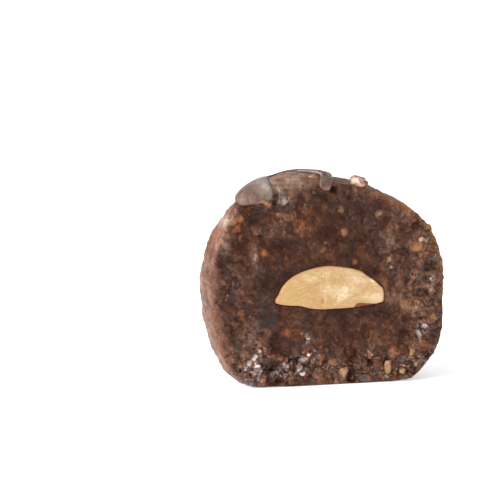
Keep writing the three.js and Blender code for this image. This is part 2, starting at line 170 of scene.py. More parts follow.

# Moist places: right, up, half width, half height, amount. From 0.3 on they are a mosaic of wet grains, and
# near 1 they glisten with painted glints, grains painted pale where the light would catch them.
MOIST_MARKS = [
    (-10, 2.6, 2.3, 2.3, 0.6), (-4.6, 2.4, 2.6, 2, 0.6), (-10, 2.1, 1.2, 1.2, 0.6),
    (-4.4, 2.3, 1.5, 1.3, 0.6), (-7, 1.1, 0.9, 1, 0.9), (-11.7, 1.5, 0.9, 0.8, 0.6),
    (-2.4, 3.8, 1, 0.8, 0.6), (-9.7, 4.4, 1, 1.2, 0.4), (-3.3, 5.9, 0.7, 0.9, 0.6),
    (12, 6.1, 1.2, 1.8, 0.9), (5.2, 3.4, 1.2, 0.8, 0.9), (8, 14.4, 0.8, 0.5, 0.7),
    (1.6, 1.4, 1.4, 1, 0.6), (-10.3, 7.5, 2.2, 3, 0.4), (12.9, 12.5, 1.2, 3, 0.4),
    (-10.2, 16.2, 0.5, 1.4, 0.7), (-7.5, 22.8, 2.5, 1, 0.4), (8.4, 2, 2.2, 1.4, 0.5),
    (12, 18, 1, 1.2, 0.5), (-6.4, 23.2, 0.9, 0.8, 0.7), (-12.3, 12.5, 1, 1.6, 0.5),
    (9.6, 10.6, 1.6, 1.2, 0.3), (11.6, 3, 1.2, 1, 0.5),
]

# Bits of fruit and nut that lie in the cut: right, up, size, and colour from dark red (0) over orange to
# pale (1). Some of the palest are painted glints: pale spots where the light catches the paste.
BITS = [
    (-13, 21.9, 0.8, 0.35), (-12.8, 20.9, 0.9, 0.3), (-12.5, 19.9, 0.9, 0.35), (-12, 19, 0.7, 0.3),
    (-9.6, 23.2, 0.7, 0.4), (-8.6, 23.2, 0.7, 0.35), (-8.1, 22.8, 0.8, 0.3), (-5.4, 24.1, 0.9, 0.4),
    (-10.7, 10.9, 0.7, 0.45), (-9.5, 5.3, 0.8, 0.55), (-14, 3.7, 0.9, 0.5), (-13.6, 2.8, 0.8, 0.5),
    (-12.2, 2.6, 0.8, 0.6), (-8.7, 1.5, 0.9, 0.12), (-3.7, 0.8, 1.1, 0.2), (-2, 0.8, 0.9, 0.3),
    (-6, 6.8, 0.9, 0.25), (-11.8, 9.3, 0.9, 0.28), (-3.4, 3.9, 1, 0.12), (-7.6, 4, 0.9, 0.22),
    (-6.8, 3.6, 0.9, 0.25), (-3.3, 6.2, 0.6, 0.85), (6.1, 21.2, 0.6, 0.75), (1.1, 22, 0.6, 0.7),
    (7.4, 18.4, 0.5, 0.7), (7.5, 15.5, 0.4, 0.85), (11.6, 17.9, 0.5, 1), (12.3, 17.6, 0.6, 0.85),
    (11.2, 16.8, 1.3, 0.55), (13.5, 12.9, 0.8, 0.7), (12.8, 12.1, 0.8, 0.4), (13.1, 11.4, 0.6, 0.8),
    (14.6, 10.7, 0.7, 0.2), (9.7, 9.6, 1.3, 0.65), (13.4, 7.9, 1, 0.55), (12.3, 4.7, 1, 0.25),
    (8.1, 3.7, 0.9, 0.5), (0, 2.9, 0.9, 0.6), (10.8, 20.2, 0.7, 0.3), (12.6, 18.6, 0.6, 0.2),
    (1.5, 19.1, 0.8, 0.6), (-1.3, 16.9, 0.9, 0.4), (-9, 16.9, 0.9, 0.3), (-4, 20.4, 0.7, 0.15),
    (3, 15.2, 0.5, 0.3),
]

BIT_SHARE = 0.11  # share of the pressed-in bits that show a colour
REDDISH_SHARE = 0.4  # share of the moist grains that are reddish
RIM_BIT_COLOUR = 0.55  # of the painted rim light, on the bits' colour ramp

# Chips of nut in the cut and on the top edge: right, forward, up, width, height, and colour from dark (0)
# over brown to pale (1).
CHIPS = [
    (1.5, 0, 1.6, 1.1, 1.8, 0.55), (4.3, 0.1, 0.7, 1.4, 0.8, 0), (7.4, 0, 2.05, 0.9, 1.9, 0.5),
    (9.2, 0, 1.4, 0.9, 1, 0.75), (10.65, 0, 3.6, 0.65, 1.6, 0.5), (11.05, -0.2, 2.3, 0.9, 1.1, 0.85),
    (-9.3, 0.3, 23.35, 0.8, 0.45, 0.35), (-8.85, 0.3, 23.1, 0.7, 0.5, 0.4),
    (-8.4, 0.25, 22.9, 0.45, 0.4, 0.3), (3.6, -0.8, 25.28, 1.9, 1.6, 1),
    (4.3, -0.8, 24.95, 1.2, 1, 0.05), (-2.1, -1.1, 25.95, 1.6, 0.8, 0.66),
]

# Furrows: from and to (right, up), half width and depth.
FURROWS = [
    ((-7.3, 25.9), (-7.5, 23.0), 0.3, 0.9),
    ((-7.0, 6.8), (-7.5, 0.4), 0.9, 0.65),
    ((-11.3, 18.9), (-10.7, 15.4), 0.7, 0.4),
    ((0.1, 24.5), (0.6, 24.3), 0.45, 0.9),
    ((-1.4, 23.5), (-0.3, 23.3), 0.4, 0.5),
]

# ---- patterns and fine sizes

# Patterns of lumps that add up: the amount, size and layer of each.
SKIN_WAVES = [(0.22, 5.5, 5), (0.16, 1.8, 6)]
SKIN_EDGE = [(0.6, 1.6, 17), (0.3, 0.5, 35)]
PASTE_MOTTLE = [(0.5, 3.2, 18), (0.35, 1.3, 19), (0.3, 0.55, 20)]
PASTE_WARMTH = [(0.6, 2.4, 21), (0.3, 0.9, 22)]
BIT_EDGE = [(0.4, 0.8, 16), (0.3, 0.35, 28)]
STRAND_WIDTHS = [(0.16, 4.5, 11), (0.06, 1.6, 12)]
STRAND_HEIGHTS = [(0.2, 5.5, 13), (0.08, 2.0, 14)]
STRAND_SWAY = [(0.35, 7.0, 15)]
ALMOND_RELIEF = [(0.06, 2.2, 24), (0.04, 0.9, 25)]
CRUMB_LUMPS = [(0.6, 0.9, 0), (0.25, 0.4, 0)]
WARP_LAYERS = (51, 52, 53)
LAYER_SHIFT = 17.3
CELL_MIX = np.array([12.99, 78.23, 37.72])  # this and the stretch turn a cell's middle into its own number
CELL_STRETCH = 4375.85

CUT_STEPS = 256  # squares across the cut
BACK_STEPS = 180  # squares across the outside
SOCKET_GAP = 0.05  # between the almond and the paste
ALMOND_STEPS = 110
ALMOND_EDGE = 0.22  # rounding of its cut edge
ALMOND_FORWARD = 0.15  # how far it stands out of the cut
SKIN_START = (2.6, 3.3)  # where its brown skin starts to show along the lower edge, towards the right
SKIN_THINS = (3.4, 6.4)  # where it gets narrower there
SPOT_AT = (-1.35, 10.65)
KERNEL_RING_POINTS = 600
LINE_STEPS = 40  # points on each stretch of a smooth line, before they are spaced evenly
STRAND_STEP = 0.2
STRAND_SIDES = 24
DRIZZLE_VOXEL = 0.14
DRIZZLE_SMOOTHINGS = 4
TABLE_GAP = 0.02  # between the drizzle and the table
CRUMB_COUNT = 340
CRUMB_SIZE = 0.5
CRUMB_SIZE_RANGE = (0.28, 0.95)
CRUMB_SIZE_SPREAD = 0.35
CRUMB_CLEARANCE = 1.2  # from the almond
CRUMB_DEEPEST = 0.7  # how far behind the cut they may lie
CRUMB_LOWEST = 0.7
CRUMB_SINK = 0.36  # share of a crumb's size that its middle lies in the paste
CHIP_SLICES = 7  # flat sides of a nut chip

SEED = 7
FAR = 40.0  # farther than any skin
HALVINGS = 30  # steps that find where a ray meets the skin
TINY = 1e-9

HALF_WIDTH = BALL_WIDTH / 2
HALF_DEPTH = KEPT_DEPTH - CUT_FORWARD
TOP_REACH = BALL_HEIGHT - WAIST_HEIGHT
BOTTOM_REACH = WAIST_HEIGHT + SQUASH
BALL_MIDDLE = np.array([0.0, CUT_FORWARD, WAIST_HEIGHT])
CUT_TO_ROW = np.array([0.0, -ORIGIN_BEHIND_CUT, 0.0])


# ---- small helpers

def unit(vectors):
    return vectors / np.linalg.norm(vectors, axis=-1, keepdims=True)


def smoothstep(value, low, high):
    share = np.clip((value - low) / (high - low), 0, 1)
    return share * share * (3 - 2 * share)


def bell(value, middle, width):
    """1 at the middle, and smoothly down to 0 on both sides."""
    return np.exp(-(((value - middle) / width) ** 2))


def bells(value, marks):
    """The sum of bells, each given by its middle, width and height."""
    return sum(height * bell(value, middle, width) for middle, width, height in marks)


def soft_min(a, b, softness):
    """The smaller of two lengths, with a soft corner where they are nearly equal."""
    overlap = np.maximum(0, softness - np.abs(a - b))
    return np.minimum(a, b) - overlap**2 / (4 * softness)


def part_of(number, times):
    """Another number from 0 to 1 out of one."""
    return np.modf(number * times)[0]


def lumps(points, size, layer=0):
    """Smooth noise from about -1 to 1 whose lumps have that size. Each layer is another pattern."""
    shifted = points / size + layer * LAYER_SHIFT
    return np.array([noise.noise(p) for p in shifted.tolist()])


def grained(points, patterns):
    """The sum of several patterns of lumps."""
    return sum(amount * lumps(points, size, layer) for amount, size, layer in patterns)


def warp(points, size, amount):
    """The points pushed about by smooth noise, so that a pattern on them loses its regularity."""
    return points + amount * np.stack([lumps(points, size, layer) for layer in WARP_LAYERS], 1)


def cells(points, size):
    """Cell pattern: distances from the cell's middle and border, and the cell's own number from 0 to 1."""
    found = [noise.voronoi(p) for p in (points / size).tolist()]
    distance = np.array([d[:2] for d, _ in found])
    middle = np.array([tuple(at[0]) for _, at in found])
    own = part_of(np.abs(np.sin(middle @ CELL_MIX)), CELL_STRETCH)
    return distance[:, 0], distance[:, 1] - distance[:, 0], own


# ---- the ball's skin

def skin_radius(directions):
    """How far the skin is from the ball's middle in each direction (unit vectors), the table left out."""
    x, y, z = directions.T
    exponent = UPPER_EXPONENT + (LOWER_EXPONENT - UPPER_EXPONENT) * smoothstep(-z, *EXPONENT_ZONE)
    sideways = np.hypot(x / HALF_WIDTH, y / HALF_DEPTH)
    upwards = np.abs(z) / np.where(z > 0, TOP_REACH, BOTTOM_REACH)
    radius = (sideways**exponent + upwards**exponent) ** (-1 / exponent)
    for towards, spread, rise in HAND_MARKS:
        angle = np.degrees(np.arccos(np.clip(directions @ unit(np.array(towards)), -1, 1)))
        radius += rise * np.exp(-0.5 * (angle / spread) ** 2)
    return radius


def reach(start, directions):
    """How far each ray from inside the ball runs to the skin or the table, whichever is first."""
    inside = np.zeros(len(directions))
    outside = np.full(len(directions), FAR)
    for _ in range(HALVINGS):
        middle = (inside + outside) / 2
        offset = start + directions * middle[:, None] - BALL_MIDDLE
        length = np.maximum(np.linalg.norm(offset, axis=1), TINY)
        within = length < skin_radius(offset / length[:, None])
        inside = np.where(within, middle, inside)
        outside = np.where(within, outside, middle)
    down = np.minimum(directions[:, 2], -TINY)
    to_table = np.where(directions[:, 2] < 0, WAIST_HEIGHT / -down, FAR)
    return soft_min(inside, to_table, CORNER_SOFTNESS)


def on_skin(offsets):
    directions = unit(offsets)
    return BALL_MIDDLE + directions * reach(BALL_MIDDLE, directions)[:, None]


def flat_direction(angle):
    return np.stack([np.cos(angle), np.zeros_like(angle), np.sin(angle)], 1)


def behind_edge(angle):
    """The start of the rays that meet the skin where the cut's rounded edge ends. Its y is the radius."""
    rounding = EDGE_ROUNDING + bells(np.mod(np.degrees(angle), 360), ROUNDER_EDGES)
    return np.stack([np.zeros_like(angle), rounding, np.full_like(angle, WAIST_HEIGHT)], 1)


def folded(points):
    """Bends what lies in front of the cut's edge down over the cut. Gives places and outward directions."""
    angle = np.arctan2(points[:, 2] - WAIST_HEIGHT, points[:, 0])
    across = flat_direction(angle)
    start = behind_edge(angle)
    rounding = start[:, 1]
    rim = reach(start, across)
    past = rounding - points[:, 1]
    turn = np.clip(past / rounding, 0, math.pi / 2)
    down = np.maximum(past - rounding * math.pi / 2, 0)
    out = rim - rounding * (1 - np.cos(turn)) - down
    bent = start + across * out[:, None]
    bent[:, 1] = rounding * (1 - np.sin(turn))
    beyond = (past > 0)[:, None]
    outward = across * np.cos(turn)[:, None] - np.array([0, 1, 0]) * np.sin(turn)[:, None]
    return np.where(beyond, bent, points), np.where(beyond, outward, unit(points - BALL_MIDDLE))


# ---- grids that close into a body with a cut

def disc_grid(steps):
    """A square grid spread over a disc: distance from the middle, angle, and triangles that face -Y."""
    line = np.linspace(-1, 1, steps + 1)
    u, v = (a.ravel() for a in np.meshgrid(line, line, indexing="ij"))
    distance = np.maximum(np.abs(u), np.abs(v))
    wide = np.abs(u) >= np.abs(v)
    safe_u = np.where(u == 0, 1, u)
    safe_v = np.where(v == 0, 1, v)
    across = math.pi / 4 * (v / safe_u) + np.where(u < 0, math.pi, 0)
    upright = math.pi / 4 * (2 - u / safe_v) + np.where(v < 0, math.pi, 0)
    angle = np.where(distance == 0, 0, np.where(wide, across, upright))

    number = np.arange((steps + 1) ** 2).reshape(steps + 1, steps + 1)
    corners = (number[:-1, :-1], number[1:, :-1], number[1:, 1:], number[:-1, 1:])
    a, b, c, d = (corner.ravel() for corner in corners)
    rising = (u[a] + u[c]) * (v[a] + v[c]) > 0  # there the line a-c runs outwards, elsewhere b-d
    first = np.where(rising[:, None], np.stack([a, b, c], 1), np.stack([a, b, d], 1))
    second = np.where(rising[:, None], np.stack([a, c, d], 1), np.stack([b, c, d], 1))
    return distance, angle, np.concatenate([first, second])


def ring_order(distance, angle):
    """The numbers of a grid's outermost points, in order of their angle."""
    outermost = np.flatnonzero(distance > 1 - TINY)
    return outermost[np.argsort(np.mod(angle[outermost], math.tau))]


def zip_rings(front, front_angle, back, back_angle):
    """The strip of triangles between two rings of points with different counts, both ordered by angle."""
    faces = []
    i = j = 0
    while i < len(front) or j < len(back):
        next_front = front_angle[i + 1] if i + 1 < len(front) else front_angle[0] + math.tau
        next_back = back_angle[j + 1] if j + 1 < len(back) else back_angle[0] + math.tau
        if j >= len(back) or (i < len(front) and next_front <= next_back):
            faces.append((front[i % len(front)], back[j % len(back)], front[(i + 1) % len(front)]))
            i += 1
        else:
            faces.append((front[i % len(front)], back[j % len(back)], back[(j + 1) % len(back)]))
            j += 1
    return np.array(faces)


def closed_body(front_grid, front_points, back_grid, back_points):
    """One closed surface from a front and a back grid, joined by a strip round their rims."""
    front_distance, front_angle, front_faces = front_grid
    back_distance, back_angle, back_faces = back_grid
    front_ring = ring_order(front_distance, front_angle)
    back_ring = ring_order(back_distance, back_angle)
    strip = zip_rings(
        front_ring, np.mod(front_angle[front_ring], math.tau),
        back_ring + len(front_points), np.mod(back_angle[back_ring], math.tau),
    )
    faces = np.concatenate([front_faces, back_faces[:, ::-1] + len(front_points), strip])
    return np.concatenate([front_points, back_points]), faces


def vertex_normals(points, faces):
    corners = points[faces]
    flat = np.cross(corners[:, 1] - corners[:, 0], corners[:, 2] - corners[:, 0])
    normals = np.zeros_like(points)
    for corner in range(3):
        for axis in range(3):
            normals[:, axis] += np.bincount(faces[:, corner], flat[:, axis], len(points))
    return unit(normals)


# ---- meshes and objects

def linked(name, data):
    """A new object in the scene."""
    made = bpy.data.objects.new(name, data)
    bpy.context.scene.collection.objects.link(made)
    return made


def new_mesh(name, points, faces):
    """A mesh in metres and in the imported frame, from points in the working frame."""
    mesh = bpy.data.meshes.new(name)
    mesh.from_pydata(((points + CUT_TO_ROW) * MM).tolist(), [], faces)
    return mesh


def write_numbers(mesh, name, values):
    """Gives each point of a mesh a number, which its material reads."""
    mesh.attributes.new(name, "FLOAT", "POINT").data.foreach_set("value", values.astype(np.float32))


def piece(name, points, faces, material, slot, **numbers):
    """A piece of the truffle from arrays, with numbers per point for its material."""
    mesh = new_mesh(name, points, faces.tolist())
    for key, values in numbers.items():
        write_numbers(mesh, key, values)
    mesh.shade_smooth()
    return ride(name, mesh, material)


def ride(name, mesh, material):
    made = linked(name, mesh)
    mesh.materials.append(material)
    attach(made, "root")
    return made


# ---- the kernel's form

def catmull_rom(points, count):
    """A smooth line of that many points through the given ones, evenly spaced, and its length."""
    points = np.array(points, float)
    ends = np.concatenate([[2 * points[0] - points[1]], points, [2 * points[-1] - points[-2]]])
    line = []
    for a, b, c, d in zip(ends, ends[1:], ends[2:], ends[3:]):
        for t in np.linspace(0, 1, LINE_STEPS, endpoint=False):
            line.append(0.5 * (2 * b + (c - a) * t + (2 * a - 5 * b + 4 * c - d) * t**2
                               + (3 * b - a - 3 * c + d) * t**3))
    line.append(points[-1])
    line = np.array(line)
    length = np.concatenate([[0], np.cumsum(np.linalg.norm(np.diff(line, axis=0), axis=1))])
    even = np.linspace(0, length[-1], count)
    return np.stack([np.interp(even, length, axis) for axis in line.T], 1), length[-1]


def to_kernel(x, z):
    """Distance from the kernel's middle, and angle."""
    right = x - KERNEL_RIGHT
    up = z - KERNEL_UP
    return np.hypot(right, up), np.arctan2(up, right)


def from_kernel(distance, angle):
    return KERNEL_RIGHT + distance * np.cos(angle), KERNEL_UP + distance * np.sin(angle)


def kernel_ring():
    """The kernel's outline as angles round its middle and distances from it, in order of the angles."""
    line, _ = catmull_rom(KERNEL_OUTLINE[-2:] + KERNEL_OUTLINE + KERNEL_OUTLINE[:2], KERNEL_RING_POINTS)
    distance, angle = to_kernel(*line.T)
    angle = np.mod(angle, math.tau)
    order = np.argsort(angle)
    return angle[order], distance[order]


KERNEL_RING = kernel_ring()


def kernel_outline(angle, grown):
    """How far the kernel's cut outline is from its middle at each angle, grown by an amount."""
    return np.interp(angle, *KERNEL_RING, period=math.tau) + grown


def kernel_depth(share, grown):
    """How deep the kernel's back lies at a share of the way from its middle to its outline."""
    return (KERNEL_DEPTH + grown) * (1 - np.clip(share, 0, 1) ** KERNEL_EXPONENT) ** (1 / KERNEL_EXPONENT)


# ---- the paste

def marked(x, z, marks):
    """The sum of soft oval marks on the cut."""
    total = np.zeros_like(x)
    for right, up, half_width, half_height, amount, *lean in marks:
        turn = math.radians(sum(lean))
        along = (x - right) * math.cos(turn) + (z - up) * math.sin(turn)
        across = (z - up) * math.cos(turn) - (x - right) * math.sin(turn)
        total += amount * np.exp(-((along / half_width) ** 2) - (across / half_height) ** 2)
    return total


def marked_in_front(points, marks):
    """The marks on what can be seen round the cut, without their shadows on the back."""
    return (1 - smoothstep(points[:, 1], *FRONT_ZONE)) * marked(points[:, 0], points[:, 2], marks)


def to_furrow(x, z, start, end):
    """Distance from a furrow's line."""
    start, end = np.array(start), np.array(end)
    run = end - start
    share = np.clip(((x - start[0]) * run[0] + (z - start[1]) * run[1]) / (run @ run), 0, 1)
    return np.hypot(x - start[0] - share * run[0], z - start[1] - share * run[1])


def roughness_of_cut(x, z):
    """How torn the cut is, from 0 to 1: smeared round the almond, torn low down and at the sides."""
    low = smoothstep(-z, -5.5, -1.5)
    sides = smoothstep(x, 8.0, 12.5) + 0.4 * smoothstep(-x, 10.0, 13.5)
    return np.clip(0.5 - marked(x, z, SMOOTH_MARKS) + 0.45 * low + 0.3 * sides, 0.12, 1.0)


def pebbles(points, size, share, layer):
    """Rounded bits pressed into the paste: their height from 0 to 1, and their own numbers."""
    distance, _, own = cells(warp(points + 13.1 * layer, size * 1.6, size * 0.35), size)
    radius = 0.3 + 0.25 * part_of(own, 7.31)
    height = np.sqrt(np.clip(1 - (distance / radius) ** 2, 0, 1)) * (part_of(own, 13.7) < share)
    return height, own


def crumbling(points, size, layer):
    """Paste broken into crumbs with gaps between them: relief, own numbers, gaps, and bulges from 0 to 1."""
    distance, border, own = cells(warp(points + 31 * layer, size * 1.3, size * 0.5), size)
    gap = 1 - smoothstep(border, 0.02, 0.32)
    bulge = np.clip(1 - (distance / 0.65) ** 2, 0, 1)
    return (own - 0.5) * 1.2 + 0.5 * (0.5 - distance**2) - 0.9 * gap, own, gap, bulge


def put_over(colour, shows, bit_colour, bit_shows):
    """The colour and strength of what shows, once a bit, a painted glint or the painted rim light is put over
    it where that is the stronger.
    """
    return np.where(bit_shows > shows, bit_colour, colour), np.maximum(shows, bit_shows)


def cut_relief(points, roughness, wet):
    """The relief of the cut, outwards. Also how deep in a gap each point lies, which is painted in as shade,
    how much lighter and redder its crumb is, and the colour and strength of the bits and of the painted
    glints.
    """
    x, z = points[:, 0], points[:, 2]

    # crumbs, pressed-in bits and tears
    broken, broken_own, broken_gap, _ = crumbling(points, 1.2, 1)
    fine, fine_own, fine_gap, fine_bulge = crumbling(points, 0.75, 2)
    big, _ = pebbles(points, 1.9, 0.55, 1)
    middling, own = pebbles(points, 1.05, 0.5, 2)
    torn = smoothstep(roughness, 0.35, 0.9)
    relief = 0.22 * lumps(points, 8.5, 1) + (0.16 + 0.24 * roughness) * lumps(points, 3.0, 2)
    relief += (0.05 + 0.2 * roughness) * lumps(points, 1.3, 8)
    relief += (0.03 + 0.13 * roughness) * broken + (0.025 + 0.08 * roughness) * fine
    relief += torn * (0.5 * big + 0.3 * middling)
    tear = smoothstep(lumps(points, 1.7, 10), 0.12, 0.5) * (0.2 + 0.8 * roughness)
    tear *= 1 - np.maximum(big, middling)
    relief -= 0.5 * tear
    # painted shade: gaps and tears are darkened in the colour, as shade would fall in them
    hollow = np.clip(0.75 * tear + (0.15 + 0.5 * roughness) * (0.6 * broken_gap + 0.5 * fine_gap), 0, 1)
    shade = 0.25 * (broken_own - 0.5) + 0.25 * (fine_own - 0.5)
    redder = 0.4 * (part_of(broken_own, 3.9) - 0.5) + 0.4 * (part_of(fine_own, 5.7) - 0.5)
    colour = 0.6 * part_of(own, 5.3)
    shows = 0.6 * (part_of(own, 29.3) < BIT_SHARE) * smoothstep(middling, 0.1, 0.6) * (0.2 + 0.8 * torn)

    ragged = lumps(points, 1.1, 32)
    # the furrows deepen the relief and get a painted shadow along them
    for start, end, half_width, depth in FURROWS:
        furrow = bell(to_furrow(x, z, start, end) + 0.6 * half_width * ragged, 0, half_width)
        relief -= depth * furrow
        hollow = np.maximum(hollow, min(1, depth * 1.2) * furrow)

    # moist places are a mosaic of folds and grains, of which most glisten with painted glints and some are
    # reddish, with painted shade in their gaps and creases
    mosaic = smoothstep(wet, 0.2, 0.55)
    folds = 0.8 * np.abs(lumps(points, 1.5, 29)) + 0.5 * np.abs(lumps(points, 0.7, 30)) - 0.3
    relief += mosaic * (folds + 0.35 * (fine_own - 0.5))
    hollow = np.maximum(hollow, mosaic * np.maximum(0.75 * fine_gap, 0.85 * smoothstep(-folds, 0.0, 0.2)))
    grainy = np.clip(0.65 + 1.1 * lumps(points, 0.35, 37), 0, 1)
    # painted glints: moist grains painted pale where the light would catch them
    glistening = smoothstep(wet, 0.45, 0.75) * (fine_own > REDDISH_SHARE)
    reddish = mosaic * (fine_own < REDDISH_SHARE)
    for grain_colour, strength in ((1.0, glistening), (0.1 + 0.7 * fine_own, reddish)):
        colour, shows = put_over(colour, shows, grain_colour, strength * np.sqrt(fine_bulge) * grainy)

    uneven = grained(points, BIT_EDGE)
    # pressed-in bits; some of the palest are painted glints
    for right, up, size, bit_colour in BITS:
        near = (np.hypot(x - right, z - up) + uneven) / (size / 2)
        relief += 0.06 * size * np.sqrt(np.clip(1 - near**2, 0, 1))
        placed = 0.75 * (1 - smoothstep(near, 0.0, 1.6))
        colour, shows = put_over(colour, shows, bit_colour + 0.5 * uneven, placed)
        hollow = hollow * (1 - placed)
    return relief, hollow, shade, redder, colour, shows


def skin_relief(points):
    """The relief of the rolled outside. Also each grain's own number, and the bits' colour and strength."""
    distance, _, own = cells(warp(points, 1.0, 0.4), 0.9)
    pores = 0.1 * smoothstep(own, 0.5, 0.9) * bell(distance, 0, 0.3)
    grains = 0.12 * np.maximum(lumps(points, 0.7, 7), -0.1) + 0.06 * lumps(points, 0.35, 31)
    near = smoothstep(distance + 0.3 * lumps(points, 0.5, 38), 0.15, 0.45)
    shows = 0.65 * (part_of(own, 9.7) > 0.8) * (1 - near)
    return grained(points, SKIN_WAVES) - pores + grains, own, 0.15 + 0.6 * part_of(own, 5.1), shows


def cut_front(distance, angle):
    """The cut's points, the radius of the edge there, and how far each is in front of the rounding's end."""
    across = flat_direction(angle)
    start = behind_edge(angle)
    rounding = start[:, 1]
    flat = reach(start, across) - rounding
    whole = flat + rounding * math.pi / 2
    along = distance * whole
    turn = np.clip((along - flat) / rounding, 0, math.pi / 2)
    out = np.minimum(along, flat) + rounding * np.sin(turn)
    front = start + across * out[:, None]
    front[:, 1] = rounding * (1 - np.cos(turn))
    return front, rounding, whole - along


def rolled_back(distance, angle):
    """The outside's points, and the same two measures of each."""
    swing = distance * (1 - 1 / BACK_STEPS) * math.pi / 2
    directions = unit(np.stack([
        HALF_WIDTH * np.cos(angle) * np.sin(swing),
        KEPT_DEPTH * np.cos(swing),
        HALF_WIDTH * np.sin(angle) * np.sin(swing),
    ], 1))
    start = behind_edge(angle)
    back = start + directions * reach(start, directions)[:, None]
    return back, start[:, 1], (start - back)[:, 1]


def share_of_cut(points, degrees, rounding, to_edge_end):
    """1 on the cut and 0 on the outside, whose rolled skin reaches raggedly over the edge of the cut."""
    at_left = bell(np.mod(degrees, 360), *LEFT_SIDE)
    skinned = 0.2 * rounding + bells(degrees, SKIN_REACHES) + 0.4 * at_left
    ragged = grained(points, SKIN_EDGE) * smoothstep(to_edge_end, 0, 0.8)
    return smoothstep(to_edge_end + ragged - skinned, -0.1, 0.4 + 0.7 * rounding + 0.6 * at_left)


def sink_socket(points, on_cut, from_middle, angle):
    """Moves the cut's points near the almond's outline onto it, and those inside it to the socket's back."""
    outline = kernel_outline(angle, SOCKET_GAP)
    to_edge = from_middle - outline
    snapped = on_cut & (np.abs(to_edge) < 0.6 * (BALL_WIDTH / CUT_STEPS))
    edge_x, edge_z = from_kernel(outline, angle)
    points[snapped, 0] = edge_x[snapped]
    points[snapped, 2] = edge_z[snapped]
    inside = on_cut & (to_edge < 0) & ~snapped
    points[inside, 1] = kernel_depth(from_middle / outline, SOCKET_GAP)[inside]


def paste_arrays():
    """The paste's points and triangles, the numbers for its material, and how torn it is."""
    cut_grid = disc_grid(CUT_STEPS)
    back_grid = disc_grid(BACK_STEPS)
    front, front_rounding, front_to_end = cut_front(*cut_grid[:2])
    back, back_rounding, back_to_end = rolled_back(*back_grid[:2])
    rounding = np.concatenate([front_rounding, back_rounding])
    to_edge_end = np.concatenate([front_to_end, back_to_end])
    points, faces = closed_body(cut_grid, front, back_grid, back)
    normals = vertex_normals(points, faces)
    x, z = points[:, 0], points[:, 2]

    degrees = np.degrees(np.arctan2(z - WAIST_HEIGHT, x))
    cut = share_of_cut(points, degrees, rounding, to_edge_end)
    # painted rim light: the right edge is painted paler and redder, where light catches it
    right_rim = bell(degrees, *RIGHT_RIM) * bell(to_edge_end, 0.1, 0.9)
    from_middle, kernel_angle = to_kernel(x, z)
    to_kernel_edge = np.maximum(from_middle - kernel_outline(kernel_angle, SOCKET_GAP), 0)
    near_kernel = bell(to_kernel_edge, 0, 0.8) * cut
    roughness = roughness_of_cut(x, z) * (1 - 0.8 * near_kernel)
    wet = np.maximum(marked(x, z, MOIST_MARKS), 0)
    relief, hollow, shade, redder, bit_colour, bit_shows = cut_relief(
        points, roughness, wet + 0.3 * lumps(points, 1.1, 36))
    hollow *= 1 - right_rim
    skin, skin_own, skin_colour, skin_shows = skin_relief(points)
    torn = cut * smoothstep(to_edge_end, -0.6, 0.4)
    height = torn * (1 - 0.85 * near_kernel) * relief + (1 - torn) * skin
    at_table = smoothstep(z, 0.0, 0.5)  # the underside stays flat
    at_edge = bell(points[:, 1], 0.6 * rounding, 0.8 * rounding) * cut
    height *= (0.15 + 0.85 * at_table) * (1 - 0.45 * at_edge)

    shade = shade + 0.5 * marked(x, z, TONE_MARKS)
    tone = 0.5 + 0.5 * grained(points, PASTE_MOTTLE) + cut * shade + 0.5 * right_rim
    warm_marks = [(right, up, size, size, amount) for right, up, size, amount in WARM_MARKS]
    redder = redder + marked(x, z, warm_marks) + 0.2 * smoothstep(-z, -9, -4) + 0.4 * wet
    warm = 0.45 + grained(points, PASTE_WARMTH) + cut * redder + 0.8 * right_rim
    streaks = 0.7 + 0.6 * lumps(points, 0.9, 33) + 0.9 * lumps(points * [0.35, 1, 1.3], 0.5, 34)
    patches = smoothstep(lumps(points, 1.4, 23), -0.2, 0.5)
    moist = np.clip(0.06 + 0.55 * roughness**2 * patches + 1.3 * wet * (0.5 + 0.5 * patches), 0, 1)
    moist *= (1 - 0.8 * hollow) * (1 - 0.7 * right_rim)
    # painted sheen: pale streaky patches where light glances off, painted into the colour
    film = marked_in_front(points, FILM_MARKS) * streaks

    points = points + normals * height[:, None]
    points[:, 2] = np.maximum(points[:, 2], 0)
    sink_socket(points, np.arange(len(points)) < len(front), from_middle, kernel_angle)

    # the painted rim light is also laid on as spots of a paler, redder colour
    rim_shows = right_rim * (0.75 + 0.9 * lumps(points, 0.8, 41))
    bit_colour, bit_shows = put_over(bit_colour, bit_shows, RIM_BIT_COLOUR, rim_shows)
    numbers = {
        "cut": cut,
        "tone": np.clip(tone, 0, 1),
        "warm": np.clip(warm, 0, 1),
        "hollow": cut * hollow,
        "bit_colour": np.where(cut > 0.5, bit_colour, skin_colour),
        "bit_shows": np.where(cut > 0.5, bit_shows, skin_shows) * np.abs(2 * cut - 1),
        "moist": cut * moist + (1 - cut) * (0.1 + 0.25 * skin_own**2),
        "film": np.clip(film, 0, 1),
    }
    return points, faces, numbers, roughness


# ---- the drizzle

